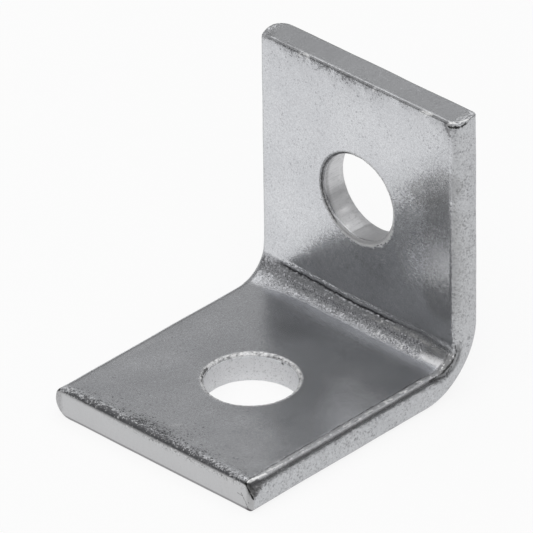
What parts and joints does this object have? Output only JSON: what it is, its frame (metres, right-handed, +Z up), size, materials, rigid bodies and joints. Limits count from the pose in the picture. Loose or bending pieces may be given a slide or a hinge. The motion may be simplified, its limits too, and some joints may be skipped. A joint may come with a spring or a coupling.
{
  "type": "angle bracket",
  "caption": "Right-angle bracket bent from one thick zinc-plated steel flat bar, with one round bolt hole through the middle of each equal-width leg",
  "frame": {"origin": "on the underside of the foot, in the middle of the bracket's footprint, under the middle of its bounding box", "axes": "X runs across the bar's width, +Y points from the foot's free end to the upright's back face, and +Z points up along the upright"},
  "size_m": [0.0404, 0.0488, 0.0464],
  "materials": {
    "zinc_plate": "satin electro-zinc plate over sheared and punched mild steel, with drag marks, fine pits and dark sheared edges"
  },
  "bodies": {
    "root": {"angle_bracket": "zinc_plate"}
  },
  "joints": []
}
